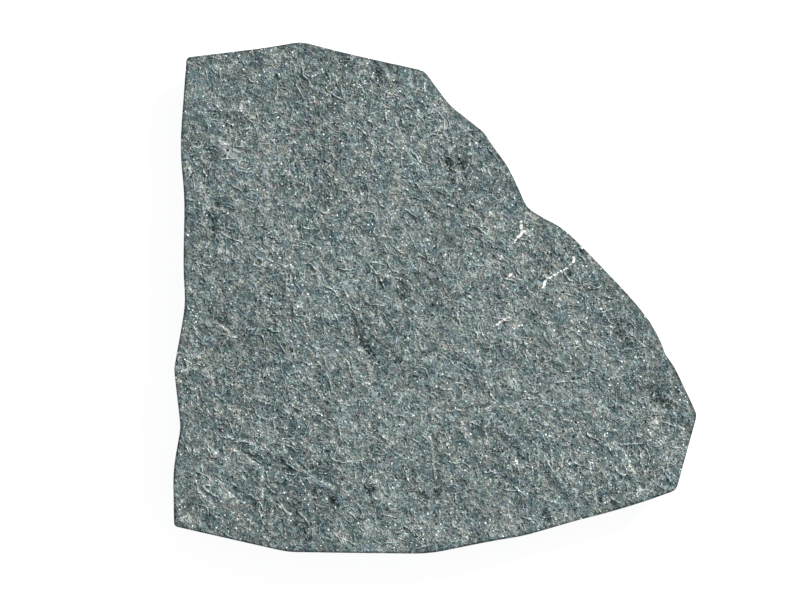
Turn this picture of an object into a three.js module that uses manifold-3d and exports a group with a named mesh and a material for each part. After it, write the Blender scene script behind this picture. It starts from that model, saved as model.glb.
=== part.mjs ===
// A stone sample: one flat piece of grey-green schist, split along its bedding and broken to an uneven outline.
// Millimetres, +Z up. The stone lies on its flat underside, and the origin is at the middle of that face.
import * as THREE from "three";
import { LoftGeometry } from "three/addons/geometries/LoftGeometry.js";
import { ImprovedNoise } from "three/addons/math/ImprovedNoise.js";
import { mergeVertices } from "three/addons/utils/BufferGeometryUtils.js";
import Module from "manifold-3d";

// Driving dimensions
const THICKNESS = 25; // underside to the middle level of the split face
const GRAIN_ANGLE = THREE.MathUtils.degToRad(-60); // the run of the rock's grain across the split face
const GRAIN_STRETCH = 1.7; // how much longer than wide the grain draws every swell
const CLEFT_STEP = 6.5; // facets of the split face
const CLEFT_SHIFT = { length: 2.7, distance: 3.6 }; // how far those facets' corners stray from an even grid

// The rim seen from above, clockwise from its far left corner, as [x, y, rounding]
const RIM_CORNERS = [
  [-149, 144, 2], [-99, 150, 18], [-80.5, 153.5, 5], [-54, 146.5, 18], [-6.5, 136, 3], [8.5, 115.5, 5],
  [29.5, 99, 3], [34, 91.5, 7], [42.5, 80.5, 7], [47.5, 71, 15], [55, 54, 3.5], [66, 47, 9],
  [74.5, 43, 9], [84, 35, 15], [117, 0.5, 18], [129.5, -15, 9], [136.5, -29, 3], [137.5, -33.5, 3],
  [143, -40.5, 5], [157, -70, 3], [144.5, -115.5, 3], [126, -122, 12], [105, -128.5, 12], [83, -134, 12],
  [53, -143, 12], [35.5, -145.5, 12], [-4, -153.5, 9], [-88, -152.5, 5], [-156.5, -137, 2], [-157, -103, 9],
  [-152.5, -78, 3.5], [-156.5, -43, 3], [-149.5, -3.5, 9], [-151, 17, 18], [-150, 60, 12], [-153, 89, 15],
];

// The broken edge: leaves of rock that stand back one below the other, and a worn arris under the rim
const EDGE_STEP = 8.5; // longest facet along the edge
const CORNER_REACH = 9; // how far to each side of a point the edge's direction is read
const CORNER_SHARE = 0.45; // the most of an edge that the rounding of one corner takes
const LEAF_TOPS = [4, 8.2, 12.6, 17.6]; // levels where the edge steps from one leaf to the next
const LEAF_WANDER = { length: 48, height: 2.2 }; // rise and fall of those levels along the edge
const LEAF_LUMPS = { length: 27, depth: 3.2 }; // unevenness of each leaf's broken face
const LEAF_CHIPS = { length: 9, depth: 1.9 };
const LEAF_INSET = 1.0; // how much further back each lower leaf stands, on average
const LEAST_INSET = 0.2; // the rim overhangs every leaf by at least this
const BASE_INSET = 1.2; // further set-back where the lowest leaf meets the ground
const LEDGE_RISE = 0.7; // height of the slope that joins two leaves
const ARRIS = { height: 2.2, inset: 0.9, unevenness: 0.7, length: 7 };
const WALL_OVER = 3; // how far the walls run on past the split face, which cuts them off

// Undulation of the split face: each swell's length and height
const SWELLS = [
  { length: 85, height: 1.5 },
  { length: 34, height: 1.0 },
  { length: 15, height: 0.8 },
];

// Hollows where a lens of rock has come away, as ovals turned to the grain
const HOLLOWS = [
  { x: -44, y: -25, along: 19, across: 8, depth: 1.7 },
  { x: -21, y: 5, along: 9, across: 7, depth: 1.1 },
  { x: 10, y: 70, along: 26, across: 11, depth: 1.1 },
  { x: 108, y: -17, along: 10, across: 8, depth: 1.2 },
  { x: 1, y: -118, along: 8, across: 8, depth: 1.4 },
  { x: -133, y: 44, along: 9, across: 6, depth: 1.1 },
  { x: -78, y: -143, along: 16, across: 10, depth: 1.4 },
  { x: -90, y: -100, along: 10, across: 7, depth: 1.2 },
  { x: 66, y: -130, along: 9, across: 7, depth: 1.1 },
  { x: 131, y: -60, along: 7, across: 7, depth: 1.1 },
];

// Ledges where a thin flake has snapped off on the far right side: its broken line, its reach and its thickness
const LEDGE_PIECES = 7; // facets along a ledge
const LEDGE_JAG = { length: 1.4, depth: 2.4 }; // unevenness of a ledge's line
const LEDGE_LEAN = 0.8; // how far a ledge leans back for each millimetre of its height
const FLAKE_REST = 0.6; // how far above the face a flake's bed ends, so that it runs out
const FLAKE_HEIGHT = 12; // more than the stone that any flake cut can meet
const FLAKE_RUN_OUT = [[1, 0.5], [0.55, 1], [0, 0.6]]; // far side of a flake, as shares of its line and reach
const FLAKES = [
  { ledge: [[-118, -92], [-106, -99.5], [-103, -104], [-104, -120]], reach: 31, thickness: 2.3 },
  { ledge: [[-129, 95], [-117, 86.5], [-111, 89]], reach: 22, thickness: 1.6 },
  { ledge: [[-140, 64], [-136.5, 54.5], [-127, 52.5]], reach: 22, thickness: 1.6 },
  { ledge: [[-139, -14], [-132, -14], [-126.5, -17], [-122, -24]], reach: 23, thickness: 1.8 },
  { ledge: [[-126, -114], [-119, -120.5], [-110, -125]], reach: 17, thickness: 1.6 },
  { ledge: [[-81, -103], [-71, -107], [-63, -113]], reach: 26, thickness: 1.6 },
  { ledge: [[-24, 107], [-20, 97], [-13.5, 84], [-6, 76]], reach: 29, thickness: 1.5 },
  { ledge: [[-70, 18], [-66, 8], [-60, 2]], reach: 22, thickness: 1.5 },
  { ledge: [[15, -73], [22, -85], [39, -86], [51, -100]], reach: 34, thickness: 1.9 },
  { ledge: [[63, -91], [70, -99], [75, -109]], reach: 26, thickness: 1.6 },
  { ledge: [[108, -87.5], [113.5, -93.5], [119, -104.5]], reach: 26, thickness: 1.9 },
];

const wasm = await Module();
wasm.setup();
const noise = new ImprovedNoise();

// Smooth random unevenness of about -1 to 1, with lumps of the given length and another field for each layer
function unevenness(x, y, length, layer) {
  const layerGap = 3.7;
  return noise.noise(x / length, y / length, layerGap * layer + 0.5);
}

function solidOf({ attributes, index }) {
  const bare = new THREE.BufferGeometry().setAttribute("position", attributes.position).setIndex(index);
  const merged = mergeVertices(bare);
  return new wasm.Manifold(
    new wasm.Mesh({
      numProp: 3,
      vertProperties: new Float32Array(merged.attributes.position.array),
      triVerts: new Uint32Array(merged.index.array),
    }),
  );
}

function geometryOf(solid) {
  const mesh = solid.getMesh();
  const geometry = new THREE.BufferGeometry();
  geometry.setAttribute("position", new THREE.BufferAttribute(mesh.vertProperties, 3));
  geometry.setIndex(new THREE.BufferAttribute(mesh.triVerts, 1));
  geometry.computeVertexNormals();
  return geometry;
}

// The rim as a closed path: straight breaks joined by curves as wide as each corner's rounding
function rimPath() {
  const path = new THREE.Path();
  const count = RIM_CORNERS.length;
  RIM_CORNERS.forEach(([x, y, rounding], i) => {
    const corner = new THREE.Vector2(x, y);
    const [before, after] = [i + count - 1, i + 1].map((k) => {
      const [nx, ny] = RIM_CORNERS[k % count];
      const edge = new THREE.Vector2(nx, ny).sub(corner);
      const cut = Math.min(rounding, CORNER_SHARE * edge.length());
      return edge.setLength(cut).add(corner);
    });
    if (i === 0) path.moveTo(before.x, before.y);
    else path.lineTo(before.x, before.y);
    path.quadraticCurveTo(corner.x, corner.y, after.x, after.y);
  });
  path.closePath();
  return path;
}

// Points round the rim, anticlockwise seen from above, with the outward direction at each
function rimPoints() {
  const points = rimPath().curves.flatMap((curve) => {
    const least = curve.isQuadraticBezierCurve ? 2 : 1;
    const pieces = Math.max(least, Math.ceil(curve.getLength() / EDGE_STEP));
    return curve.getPoints(pieces).slice(0, -1);
  });
  points.reverse();
  const count = points.length;
  const pointBeyond = (i, step) => {
    let k = i;
    while (points[k].distanceTo(points[i]) < CORNER_REACH) k = (k + step + count) % count;
    return points[k];
  };
  return points.map((at, i) => {
    const run = pointBeyond(i, 1).clone().sub(pointBeyond(i, -1));
    return { at, out: new THREE.Vector2(run.y, -run.x).normalize() };
  });
}

// The broken edge: leaves of rock standing back one below the other, with a worn arris under the rim
function brokenEdge() {
  const rim = rimPoints();
  const leafInset = (at, leaf) => {
    const lumps = LEAF_LUMPS.depth * unevenness(at.x, at.y, LEAF_LUMPS.length, leaf);
    const chips = LEAF_CHIPS.depth * unevenness(at.x, at.y, LEAF_CHIPS.length, leaf);
    return Math.max(LEAST_INSET, LEAF_INSET * (LEAF_TOPS.length - leaf) + lumps + chips);
  };
  const section = (height, inset) =>
    rim.map(({ at, out }) => {
      const back = inset(at);
      return new THREE.Vector3(at.x - out.x * back, at.y - out.y * back, height(at));
    });

  const sections = [section(() => 0, (at) => BASE_INSET + leafInset(at, 0))];
  LEAF_TOPS.forEach((top, leaf) => {
    const level = (at) => top + LEAF_WANDER.height * unevenness(at.x, at.y, LEAF_WANDER.length, leaf);
    sections.push(section(level, (at) => leafInset(at, leaf)));
    sections.push(section((at) => level(at) + LEDGE_RISE, (at) => leafInset(at, leaf + 1)));
  });
  const face = (at) => cleftHeight(at.x, at.y);
  const arrisInset = (at) => ARRIS.inset + ARRIS.unevenness * unevenness(at.x, at.y, ARRIS.length, 1);
  const runOn = (ARRIS.height + WALL_OVER) / ARRIS.height;
  sections.push(section((at) => face(at) - ARRIS.height, () => 0));
  sections.push(section((at) => face(at) + WALL_OVER, (at) => runOn * arrisInset(at)));
  return new LoftGeometry(sections, { capStart: true, capEnd: true });
}

// Position along and across the grain
function alongGrain(x, y) {
  const [c, s] = [Math.cos(GRAIN_ANGLE), Math.sin(GRAIN_ANGLE)];
  return { along: x * c + y * s, across: y * c - x * s };
}

function cleftHeight(x, y) {
  const { along, across } = alongGrain(x, y);
  let height = THICKNESS;
  SWELLS.forEach((swell, i) => {
    height += swell.height * unevenness(along / GRAIN_STRETCH, across, swell.length, i);
  });
  for (const hollow of HOLLOWS) {
    const from = alongGrain(x - hollow.x, y - hollow.y);
    const distance = (from.along / hollow.along) ** 2 + (from.across / hollow.across) ** 2;
    height -= hollow.depth * Math.exp(-distance);
  }
  return height;
}

// A block larger than the stone whose upper side is the split face
function cleftBlock() {
  const margin = 2 * CLEFT_STEP;
  const box = new THREE.Box2().setFromPoints(RIM_CORNERS.map(([x, y]) => new THREE.Vector2(x, y)));
  const size = box.getSize(new THREE.Vector2()).addScalar(2 * margin);
  const centre = box.getCenter(new THREE.Vector2());
  const across = Math.round(size.x / CLEFT_STEP);
  const deep = Math.round(size.y / CLEFT_STEP);
  const block = new THREE.BoxGeometry(size.x, size.y, 2 * THICKNESS, across, deep, 1);
  block.translate(centre.x, centre.y, 0);
  const position = block.attributes.position;
  for (let i = 0; i < position.count; i++) {
    if (position.getZ(i) < 0) continue;
    const [gridX, gridY] = [position.getX(i), position.getY(i)];
    const x = gridX + CLEFT_SHIFT.distance * unevenness(gridX, gridY, CLEFT_SHIFT.length, 1);
    const y = gridY + CLEFT_SHIFT.distance * unevenness(gridX, gridY, CLEFT_SHIFT.length, 2);
    position.setXYZ(i, x, y, cleftHeight(x, y));
  }
  return block;
}

// The wedge that a flake leaves: deepest at the middle of its broken line, with a bed that rises and runs out
function flakeWedge({ ledge, reach, thickness }) {
  const line = new THREE.SplineCurve(ledge.map(([x, y]) => new THREE.Vector2(x, y)));
  const first = line.points[0];
  const chord = line.points[line.points.length - 1].clone().sub(first);
  const away = new THREE.Vector2(-chord.y, chord.x).normalize();
  const broken = line.getSpacedPoints(LEDGE_PIECES).map((at, i) => {
    const isEnd = i === 0 || i === LEDGE_PIECES;
    const jag = isEnd ? 0 : LEDGE_JAG.depth * unevenness(at.x, at.y, LEDGE_JAG.length, 1);
    return at.addScaledVector(away, jag);
  });
  const runOut = FLAKE_RUN_OUT.map(([share, distance]) =>
    first.clone().addScaledVector(chord, share).addScaledVector(away, reach * distance),
  );
  const outline = new THREE.Shape([...broken, ...runOut]);
  const wedge = new THREE.ExtrudeGeometry(outline, { depth: FLAKE_HEIGHT, bevelEnabled: false });
  const position = wedge.attributes.position;
  for (let i = 0; i < position.count; i++) {
    const at = new THREE.Vector2(position.getX(i), position.getY(i));
    const above = position.getZ(i);
    const from = at.clone().sub(first);
    const along = THREE.MathUtils.clamp(from.dot(chord) / chord.lengthSq(), 0, 1);
    const out = from.dot(away) / reach;
    const depth = thickness * Math.sin(Math.PI * along) * (1 - out) - FLAKE_REST * out;
    const bed = cleftHeight(at.x, at.y) - depth;
    at.addScaledVector(away, -LEDGE_LEAN * above);
    position.setXYZ(i, at.x, at.y, bed + above);
  }
  return wedge;
}

function stoneMesh() {
  let solid = solidOf(brokenEdge()).intersect(solidOf(cleftBlock()));
  for (const flake of FLAKES) solid = solid.subtract(solidOf(flakeWedge(flake)));
  const geometry = geometryOf(solid);
  geometry.computeBoundingBox();
  const centre = geometry.boundingBox.getCenter(new THREE.Vector3());
  geometry.translate(-centre.x, -centre.y, 0);
  const material = new THREE.MeshStandardMaterial({ color: 0x788383, roughness: 0.85, metalness: 0 });
  const mesh = new THREE.Mesh(geometry, material);
  mesh.name = "stone";
  return mesh;
}

const stoneSample = new THREE.Group();
stoneSample.add(stoneMesh());

export default stoneSample;
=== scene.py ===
# A stone sample: one flat, irregular piece of grey-green split schist, lying on a white studio floor.
# The camera looks straight down on it, so that the whole split face shows.
import math

import bmesh
import bpy
import numpy as np
from mathutils import Matrix, Vector
from mathutils.bvhtree import BVHTree
from mathutils.geometry import delaunay_2d_cdt
from mathutils.kdtree import KDTree


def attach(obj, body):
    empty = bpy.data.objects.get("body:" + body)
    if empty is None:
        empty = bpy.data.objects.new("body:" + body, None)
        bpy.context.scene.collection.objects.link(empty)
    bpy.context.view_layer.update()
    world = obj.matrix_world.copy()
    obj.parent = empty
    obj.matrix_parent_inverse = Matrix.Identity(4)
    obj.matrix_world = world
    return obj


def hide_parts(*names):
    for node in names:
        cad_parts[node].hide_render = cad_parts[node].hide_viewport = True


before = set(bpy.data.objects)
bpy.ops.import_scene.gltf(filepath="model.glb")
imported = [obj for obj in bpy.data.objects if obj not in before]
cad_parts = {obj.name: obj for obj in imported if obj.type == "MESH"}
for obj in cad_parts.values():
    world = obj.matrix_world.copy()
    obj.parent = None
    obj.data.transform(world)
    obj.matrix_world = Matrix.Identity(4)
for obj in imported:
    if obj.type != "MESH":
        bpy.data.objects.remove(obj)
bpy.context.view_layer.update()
scene = bpy.context.scene

# Camera: hangs well above the stone and looks straight down, with +Y at the top of the picture.
# The middle of the picture lies a little left of the stone's own middle.
PICTURE_WIDTH = 0.4793  # metres of split face across the picture
PICTURE_MIDDLE = (-0.02085, -0.0012)
FACE_LEVEL = 0.0245  # the mean height of the split face
CAMERA_DISTANCE = 2.4
camera_data = bpy.data.cameras.new("camera")
camera_data.lens = camera_data.sensor_width * CAMERA_DISTANCE / PICTURE_WIDTH
camera = bpy.data.objects.new("camera", camera_data)
camera.location = (*PICTURE_MIDDLE, FACE_LEVEL + CAMERA_DISTANCE)
scene.collection.objects.link(camera)
scene.camera = camera

# Floor: a plain white sheet under the stone. It glows a little, as a lit table does, and so stays white
# close round the stone.
FLOOR_HALF = 4.0
FLOOR_LEVEL = -0.0002
FLOOR_GREY = (0.30, 0.30, 0.30, 1)
FLOOR_GLOW = 0.88
floor_mesh = bpy.data.meshes.new("floor")
floor_mesh.from_pydata(
    [(x * FLOOR_HALF, y * FLOOR_HALF, FLOOR_LEVEL) for x, y in ((-1, -1), (1, -1), (1, 1), (-1, 1))],
    [], [(0, 1, 2, 3)])
floor = bpy.data.objects.new("floor", floor_mesh)
scene.collection.objects.link(floor)
floor_paint = bpy.data.materials.new("floor_white")
floor_paint.use_nodes = True
floor_shader = floor_paint.node_tree.nodes["Principled BSDF"]
floor_shader.inputs["Base Color"].default_value = FLOOR_GREY
floor_shader.inputs["Roughness"].default_value = 0.9
floor_shader.inputs["Specular IOR Level"].default_value = 0.0
floor_shader.inputs["Emission Color"].default_value = (1, 1, 1, 1)
floor_shader.inputs["Emission Strength"].default_value = FLOOR_GLOW
floor_mesh.materials.append(floor_paint)

# Light: a softbox, barely warm, stands over the upper right corner of the picture, and an even studio, barely
# cool, shines from all round.
KEY_AZIMUTH = math.radians(45)
KEY_ELEVATION = math.radians(31)
KEY_DISTANCE = 5.5
KEY_SIZE = 1.1
KEY_ENERGY = 520
KEY_COLOUR = (1.0, 0.972, 0.948)
STUDIO_COLOUR = (0.95, 0.985, 0.985, 1)
STUDIO_STRENGTH = 0.42
key_data = bpy.data.lights.new("key", "AREA")
key_data.size = KEY_SIZE
key_data.energy = KEY_ENERGY
key_data.color = KEY_COLOUR
key = bpy.data.objects.new("key", key_data)
key.location = KEY_DISTANCE * Vector((
    math.cos(KEY_AZIMUTH) * math.cos(KEY_ELEVATION),
    math.sin(KEY_AZIMUTH) * math.cos(KEY_ELEVATION),
    math.sin(KEY_ELEVATION)))
key.rotation_euler = key.location.to_track_quat("Z", "Y").to_euler()
scene.collection.objects.link(key)
studio = bpy.data.worlds.new("studio")
studio.use_nodes = True
studio.node_tree.nodes["Background"].inputs["Color"].default_value = STUDIO_COLOUR
studio.node_tree.nodes["Background"].inputs["Strength"].default_value = STUDIO_STRENGTH
scene.world = studio
scene.view_settings.view_transform = "Standard"

# Stone, its net: the real piece is schist split along its bedding. Here an even net of points is laid over
# the solid's split face, its broken edge and its underside, and drawn closer along the ledges and veins.
# All lengths from here to the size lines are millimetres.
NET_STEP = 1.1
UNDERSIDE_STEP = 4.0
LIP_LEVEL = 20.2  # the overhanging lip of the edge lies above this height
ARRIS_INSET = 0.6  # how far the rounded arris reaches in from the lip
ARRIS_DROP = 0.9  # and how far down
ARRIS_TURN = (0, 35, 65)  # degrees of each row round the arris
WALL_ROWS = 17
WELD = 2e-6  # metres between points that are one
OVERHEAD = 60  # a height above the whole stone
DOWN = Vector((0, 0, -1))
EDGE_STANDOFF = 6  # the edge is felt for from this far outside it
EDGE_SEARCH = 30
EDGE_FOOT = 0.15  # and no lower than this
FACE_INSET = 1.5  # the height of the face at its edge is read this far in
LIGHT_ANGLE = math.radians(42)
LIGHT_SIDE = (math.cos(LIGHT_ANGLE), math.sin(LIGHT_ANGLE))  # the side that the ledges drop to

# Ledges where a thin flake has snapped off towards the upper right
LEDGES = [
    [(-129, 95), (-117, 86.5), (-111, 90)],
    [(-139, 65), (-137, 54.5), (-126.5, 53)],
    [(-138, -14.5), (-132.5, -14), (-126.5, -17), (-122.5, -23.5)],
    [(-151, -43), (-135.5, -43)],
    [(-134.5, -42), (-132.5, -52)],
    [(-125.5, -50), (-116, -53), (-114, -55)],
    [(-114, -60), (-100, -60)],
    [(-118, -92), (-113.5, -95), (-106, -99.5), (-103, -103), (-104, -107), (-104, -120)],
    [(-99, -120), (-93, -125), (-87, -129.5)],
    [(-135, -89.5), (-131, -93)],
    [(-140.5, -116), (-135, -123)],
    [(-126, -114), (-119, -120.5), (-110.5, -125)],
    [(-137.5, -137.5), (-134.5, -140.5)],
    [(-88, -69), (-81, -71.5)],
    [(-66, -85), (-58, -87.5), (-57, -92.5)],
    [(-81, -103), (-63, -113)],
    [(-81, 81), (-76, 73)],
    [(-70, 18), (-65.5, 8)],
    [(-66.5, 20), (-60, 15.5)],
    [(-29.5, 137), (-28, 132)],
    [(-24, 107), (-21, 98)],
    [(-14, 84), (-6.5, 76)],
    [(18, 54), (26, 48)],
    [(-3, -83.5), (0.5, -109)],
    [(15, -73), (22, -85)],
    [(39, -85), (51, -100)],
    [(63, -91), (75, -109)],
    [(108, -87.5), (113.5, -93.5), (119, -104.5)],
    [(116.5, -113), (119, -119), (122.5, -113.5)],
    [(136, -74), (147, -77.5)],
    [(151, -63), (152, -68)],
    [(95.5, -115), (96.5, -123.5)],
    [(104, -120.5), (105.5, -126.5)],
]

# Narrow hollows, each along its own line
HOLLOWS = [
    [(-51, -12), (-44, -25), (-36, -38.5)],
    [(-20.5, 11), (-20.5, 1)],
    [(-31.5, 9), (-31, 6.5)],
    [(-133, 50), (-133, 39.5)],
    [(-93.5, -98), (-92.5, -100)],
    [(-88, -101), (-87, -103)],
    [(0.5, -116.5), (2, -119)],
    [(-7, -118), (-6, -120)],
    [(-61, -121), (-60, -124)],
    [(-72.5, -117), (-71.5, -119.5)],
    [(-79, -141), (-77, -144)],
    [(-40, -113.5), (-39, -116)],
    [(-35, 135.5), (-34.5, 129)],
    [(7, 81.5), (8.5, 79)],
    [(14.5, 81), (15.5, 78.5)],
    [(110.5, -15), (110.5, -20.5)],
    [(66, -130), (67, -132)],
    [(23.5, -143), (24.5, -145)],
    [(130, -54), (131, -59.5), (135.5, -62.5), (141, -63.5)],
]

# White quartz veins
VEINS = [
    [(65, 6.5), (66.5, 11.5), (69, 12), (72, 14), (75, 15.5), (78, 17.5), (80.5, 19), (82, 21), (83.5, 22),
     (83, 24.5)],
    [(51.5, 45.5), (52, 41), (52, 38.5), (50, 36.5), (48, 34)],
    [(52, 41), (54, 39.5)],
    [(37, -16), (41, -13), (44, -11.5)],
    [(44, 12.5), (46, 14.5)],
]

# A small raised ring with a hollow in it: its middle, and the radius of its crest
RING_MIDDLE = (-105.6, 21.4)
RING_RADIUS = 2.5


def lip_of(solid):
    """The stone's outermost line, in order round it: where the face side turns to the overhanging edge."""
    joined = {}
    for edge in solid.edges:
        lean = sorted(face.normal.z for face in edge.link_faces)
        if lean[0] < 0 < lean[-1] and min(vert.co.z for vert in edge.verts) > LIP_LEVEL:
            for vert in edge.verts:
                joined.setdefault(vert, []).append(edge.other_vert(vert))
    loops = []
    while joined:
        loop = [next(iter(joined))]
        while loop[-1] in joined:
            ahead = [vert for vert in joined.pop(loop[-1]) if vert in joined]
            loop += ahead[:1]
            if not ahead:
                break
        loops.append(loop)
    line = max(loops, key=len)
    return np.array([vert.co[:] for vert in line])


def spread(line, step, closed=False):
    """Evenly spaced points along a line, about the given step apart."""
    line = np.array(line, float)
    if closed:
        line = np.vstack([line, line[:1]])
    run = np.concatenate([[0], np.cumsum(np.linalg.norm(np.diff(line[:, :2], axis=0), axis=1))])
    count = max(2, round(run[-1] / step))
    at = np.linspace(0, run[-1], count, endpoint=not closed)
    return np.column_stack([np.interp(at, run, column) for column in line.T])


def within(points, loop):
    """Which points lie inside a closed loop."""
    x, y = points[:, 0], points[:, 1]
    found = np.zeros(len(points), bool)
    for (x0, y0), (x1, y1) in zip(loop, np.roll(loop, -1, 0)):
        if y0 != y1:
            found ^= ((y0 > y) != (y1 > y)) & (x < (x1 - x0) * (y - y0) / (y1 - y0) + x0)
    return found


def lattice(loop, step, chance):
    """Points on a slightly shaken triangular lattice inside a loop."""
    low, high = loop.min(0), loop.max(0)
    rows = []
    for i, y in enumerate(np.arange(low[1], high[1], step * math.sqrt(0.75))):
        row = np.arange(low[0] + step / 2 * (i % 2), high[0], step)
        rows.append(np.column_stack([row, np.full(len(row), y)]))
    points = np.vstack(rows)
    points += chance.uniform(-0.22, 0.22, points.shape) * step
    return points[within(points, loop)]


def fill(loop, points):
    """Triangles over the inside of a loop, with the given points among their corners."""
    sites = [Vector(p) for p in np.vstack([loop, points])]
    edges = [(i, (i + 1) % len(loop)) for i in range(len(loop))]
    corners, _, faces, *_ = delaunay_2d_cdt(sites, edges, [], 1, 1e-5)
    return np.array([p[:] for p in corners]), [list(face) for face in faces]


def jagged(line, step, jag, chance):
    """A line broken into short pieces whose joints are shaken a little."""
    points = spread(line, step)
    points[1:-1] += chance.uniform(-jag, jag, points[1:-1].shape)
    return points


def tree_of(points):
    """A way to find the nearest of many points in plan."""
    made = KDTree(len(points))
    for i, point in enumerate(points):
        made.insert((point[0], point[1], 0), i)
    made.balance()
    return made


chance = np.random.default_rng(11)
ledges = [jagged(line, 2.2, 0.8, chance) for line in LEDGES]
hollows = [jagged(line, 2.0, 0.6, chance) for line in HOLLOWS]
veins = [jagged(line, 1.0, 0.25, chance) for line in VEINS]

solid = bmesh.new()
solid.from_mesh(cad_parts["stone"].data)
solid.transform(Matrix.Scale(1000, 4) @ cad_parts["stone"].matrix_world)
bmesh.ops.remove_doubles(solid, verts=solid.verts, dist=1e-3)
solid.normal_update()
surface = BVHTree.FromBMesh(solid)


def face_height(x, y):
    """Height of the solid's split face."""
    return surface.ray_cast(Vector((x, y, OVERHEAD)), DOWN)[0].z


lip = spread(lip_of(solid), NET_STEP * 0.96, closed=True)
along = np.roll(lip, -3, 0) - np.roll(lip, 3, 0)
if np.sum(lip[:, 0] * along[:, 1] - lip[:, 1] * along[:, 0]) < 0:
    lip, along = lip[::-1], -along[::-1]
outward = np.column_stack([along[:, 1], -along[:, 0]])
outward /= np.linalg.norm(outward, axis=1)[:, None]

# Rows from the face's edge round the arris to the lip, then down the broken edge to the underside
face_edge = (lip[:, :2] - outward * ARRIS_INSET).astype(np.float32).astype(float)
edge_heights = np.array([face_height(x, y) for x, y in lip[:, :2] - outward * FACE_INSET])
lip[:, 2] = edge_heights - ARRIS_DROP
edge_rows = []
for angle in map(math.radians, ARRIS_TURN):
    inset = ARRIS_INSET * (1 - math.sin(angle))
    drop = (edge_heights - lip[:, 2]) * (1 - math.cos(angle))
    edge_rows.append(np.column_stack([lip[:, :2] - outward * inset, edge_heights - drop]))
edge_rows[0][:, :2] = face_edge
for level in np.linspace(1, 0, WALL_ROWS + 1):
    wall_row = lip.copy()
    wall_row[:, 2] *= level
    if level < 1:
        for point, out in zip(wall_row, outward):
            way = Vector((*out, 0))
            outside = Vector((point[0], point[1], max(point[2], EDGE_FOOT))) + EDGE_STANDOFF * way
            hit = surface.ray_cast(outside, -way, EDGE_SEARCH)[0]
            if hit:
                point[:2] = hit[:2]
    edge_rows.append(wall_row)

# Closer points on both sides of each ledge and vein, and in circles round the ring
close_lines = [shift * np.array(LIGHT_SIDE) + spread(line, 0.75)[:, :2] for line in ledges
               for shift in (-0.35, 0.35, 1.05)]
close_lines += [shift * np.array((0.6, 0.4)) + spread(line, 0.5)[:, :2] for line in veins
                for shift in (0, 1, -1, 2, -2)]
for circle in np.arange(-1.9, 1.3, 0.45) + RING_RADIUS:
    turns = np.arange(0, math.tau, 0.5 / circle)
    close_lines.append(RING_MIDDLE + circle * np.column_stack([np.cos(turns), np.sin(turns)]))
close_points = np.vstack(close_lines)
face_loop = lip[:, :2] - outward * (ARRIS_INSET + 0.6 * NET_STEP)
close_points = close_points[within(close_points, face_loop)]
taken = tree_of(close_points)
face_points = lattice(face_loop, NET_STEP, chance)
face_points = np.array([p for p in face_points if taken.find((*p, 0))[2] > NET_STEP / 2])
face_corners, face_sides = fill(face_edge, np.vstack([face_points, close_points]))
base_edge = edge_rows[-1][:, :2].astype(np.float32).astype(float)
edge_rows[-1][:, :2] = base_edge
base_points = lattice(base_edge - outward * UNDERSIDE_STEP * 0.6, UNDERSIDE_STEP, chance)
base_corners, base_sides = fill(base_edge, base_points)

# Face, underside and edge are joined in one closed net
rim_heights = {(x, y): z for (x, y), z in zip(map(tuple, face_edge), edge_heights)}
net_points = [(x, y, rim_heights.get((x, y)) or face_height(x, y)) for x, y in face_corners]
net_sides = list(face_sides)
base_start = len(net_points)
net_points += [(x, y, 0.0) for x, y in base_corners]
net_sides += [[base_start + i for i in reversed(side)] for side in base_sides]
edge_start = len(net_points)
net_points += [tuple(point) for row in edge_rows for point in row]
for r in range(len(edge_rows) - 1):
    upper, lower = edge_start + r * len(lip), edge_start + (r + 1) * len(lip)
    for c in range(len(lip)):
        nxt = (c + 1) % len(lip)
        net_sides.append([upper + c, lower + c, lower + nxt])
        net_sides.append([upper + c, lower + nxt, upper + nxt])
net_mesh = bpy.data.meshes.new("stone_net")
net_mesh.from_pydata([(x / 1000, y / 1000, z / 1000) for x, y, z in net_points], [], net_sides)
welder = bmesh.new()
welder.from_mesh(net_mesh)
bmesh.ops.remove_doubles(welder, verts=welder.verts, dist=WELD)
bmesh.ops.holes_fill(welder, edges=[edge for edge in welder.edges if edge.is_boundary], sides=4)
bmesh.ops.triangulate(welder, faces=[face for face in welder.faces if len(face.verts) > 3])
bmesh.ops.recalc_face_normals(welder, faces=welder.faces)
welder.to_mesh(net_mesh)
welder.free()
solid.free()
net = bpy.data.objects.new("stone_net", net_mesh)
scene.collection.objects.link(net)


def line_object(name, lines):
    """A guide for the relief: the given lines as bare edges, lying in the plane of z = 0."""
    points = [p for line in lines for p in line]
    starts = np.cumsum([0] + [len(line) for line in lines[:-1]])
    edges = [(s + i, s + i + 1) for s, line in zip(starts, lines) for i in range(len(line) - 1)]
    mesh = bpy.data.meshes.new(name)
    mesh.from_pydata([(x, y, 0) for x, y in points], edges, [])
    made = bpy.data.objects.new(name, mesh)
    scene.collection.objects.link(made)
    return made


guides = {
    "Ledges": line_object("ledge_lines", ledges),
    "Hollows": line_object("hollow_lines", hollows),
    "Veins": line_object("vein_lines", veins),
    "Lip": line_object("lip_line", [lip[:, :2], lip[[-1, 0], :2]]),
}

# Stone, its relief: a split face is hackly, with lumps, small terraces and flaked ledges that face the
# upper right, and the edge shows the bedding as thin leaves. A node tree moves the net's points to suit.
GRAIN_ANGLE = math.radians(-60)  # the rock's grain runs from the upper left to the lower right
LUMP_STRETCH = 1.1  # how much longer its lumps are along the grain
LEDGE_APPROACH = 7.0  # a plate starts to lift this far before its broken line
LEDGE_DROP = 0.9  # the width of the drop past the line
LEDGE_MENDED = 6.0  # the face has mended this far past it
VEIN_SIDE = (-0.6, 0.8)  # across the veins

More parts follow.
